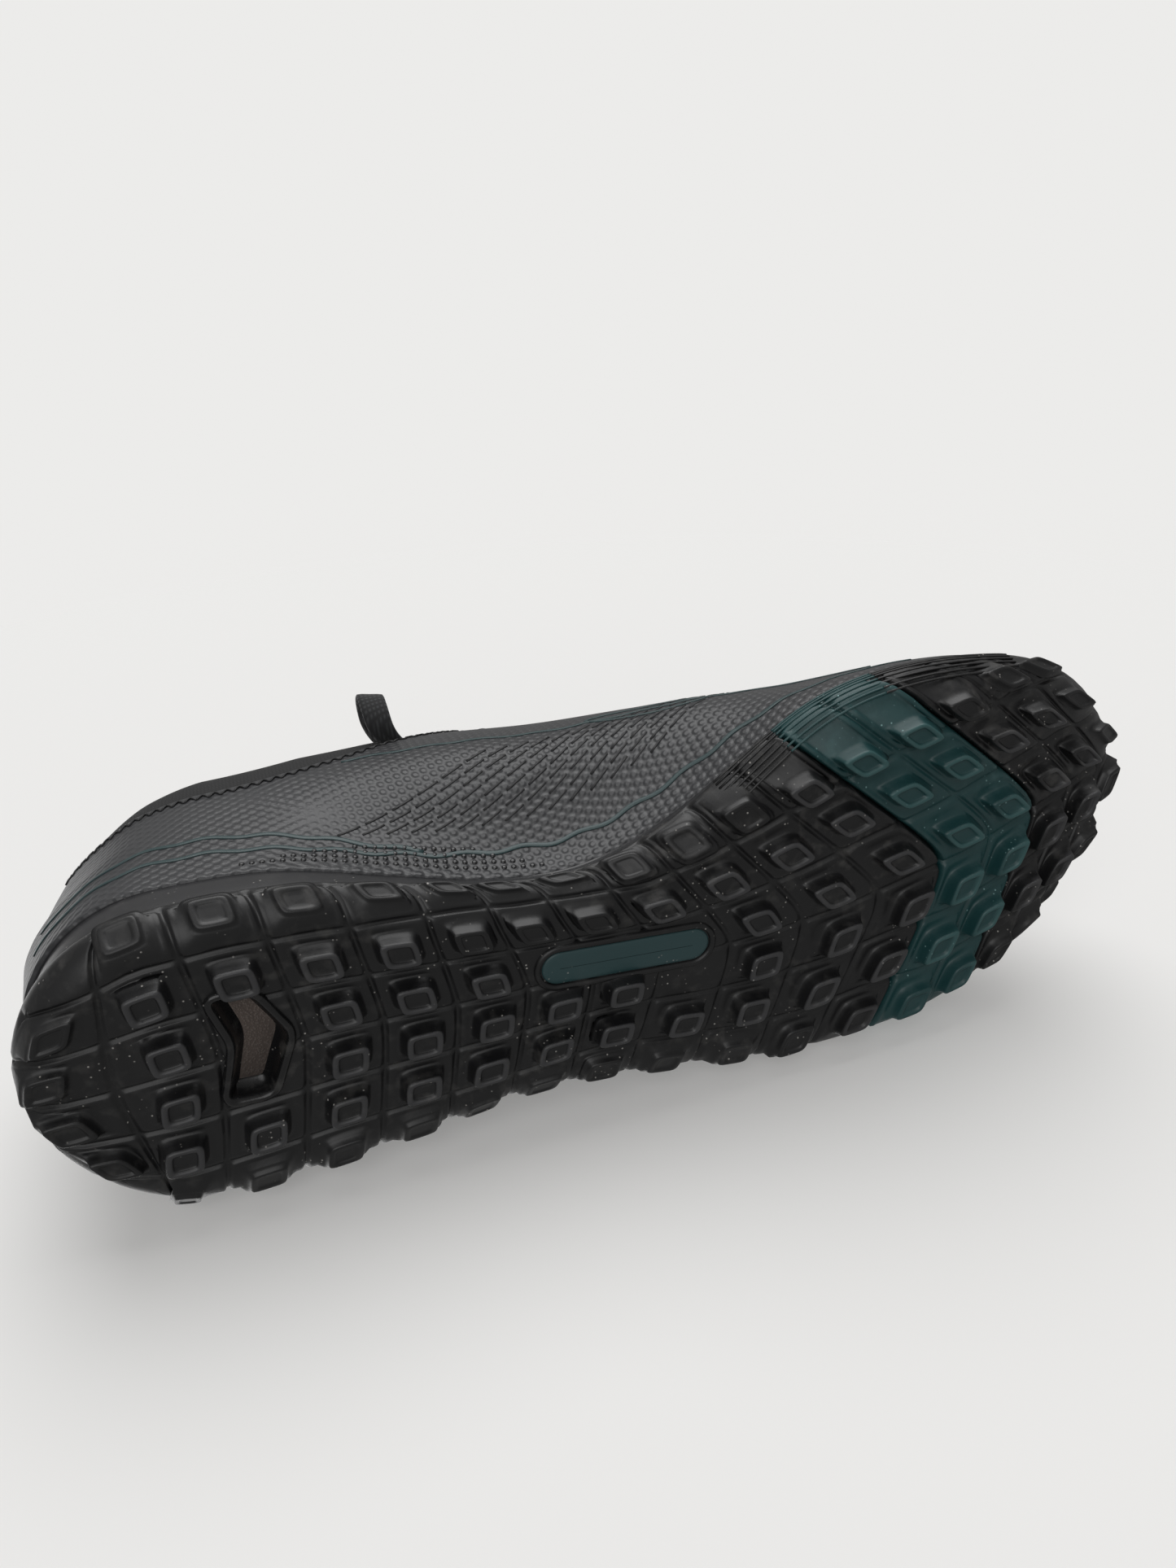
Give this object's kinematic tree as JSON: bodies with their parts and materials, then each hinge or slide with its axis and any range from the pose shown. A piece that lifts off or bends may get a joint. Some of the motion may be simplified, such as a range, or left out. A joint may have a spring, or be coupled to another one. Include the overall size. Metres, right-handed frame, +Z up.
{
  "type": "turf football shoe",
  "caption": "Left low-cut turf football shoe with a studded rubber outsole in three zones, knit upper, laces and a flexing forefoot.",
  "frame": {"origin": "on the ground under the middle of the shoe, which stands on its studs", "axes": "+X to the toe, +Y to the outer side of this left shoe, +Z up"},
  "size_m": [0.2877, 0.1048, 0.112],
  "materials": {
    "black_rubber": "moulded black rubber, satin",
    "teal_rubber": "moulded dark teal rubber, satin",
    "foam_midsole": "smooth moulded grey foam",
    "window_plastic": "black moulded plastic",
    "cushion_foam": "grey-tan foam",
    "inlay_plastic": "dark grey-teal moulded badge blank",
    "board": "pale stitched insole board",
    "sockliner_foam": "black knit topped foam",
    "upper_knit": "dark grey coated textured knit",
    "lining_knit": "black lining knit",
    "stiffener": "thermoformed stiffener",
    "lace_fabric": "flat woven black lace",
    "aglet_plastic": "black lace tip"
  },
  "bodies": {
    "shoe": {"outsole_rear": "black_rubber", "outsole_band_arms": "teal_rubber", "heel_window_frame": "window_plastic", "heel_cushion": "cushion_foam", "arch_inlay": "inlay_plastic", "midsole_rear": "foam_midsole", "strobel_board_rear": "board", "sockliner_rear": "sockliner_foam", "heel_wrap": "upper_knit", "medial_quarter": "upper_knit", "lateral_quarter": "upper_knit", "vamp_flex_panel": "upper_knit", "heel_counter": "stiffener", "eyestay_medial": "stiffener", "eyestay_lateral": "stiffener", "collar_lining": "lining_knit", "tongue_body": "lining_knit", "lace_crossings": "lace_fabric", "lace_knot": "lace_fabric", "lace_loop_medial": "lace_fabric", "lace_loop_lateral": "lace_fabric", "lace_end_medial": "lace_fabric", "lace_end_lateral": "lace_fabric", "aglet_medial": "aglet_plastic", "aglet_lateral": "aglet_plastic"},
    "forefoot": {"outsole_rear_crest": "black_rubber", "outsole_band": "teal_rubber", "outsole_toe": "black_rubber", "midsole_front": "foam_midsole", "strobel_board_front": "board", "sockliner_front": "sockliner_foam", "vamp_toe": "upper_knit", "toe_puff": "stiffener"},
    "tongue_flap": {"tongue_top": "lining_knit"}
  },
  "joints": [
    {"name": "toe_flex", "type": "hinge", "parent": "shoe", "child": "forefoot", "pos_m": [0.0614, 0.0018, 0.022], "axis": [0, -1, 0], "range_deg": [0, 35], "stiffness_Nm_per_rad": 1.5, "deforming": ["vamp_flex_panel"]},
    {"name": "tongue_flip", "type": "hinge", "parent": "shoe", "child": "tongue_flap", "pos_m": [-0.0206, 0.0018, 0.0952], "axis": [0, 1, 0], "range_deg": [0, 55], "stiffness_Nm_per_rad": 0.06}
  ]
}
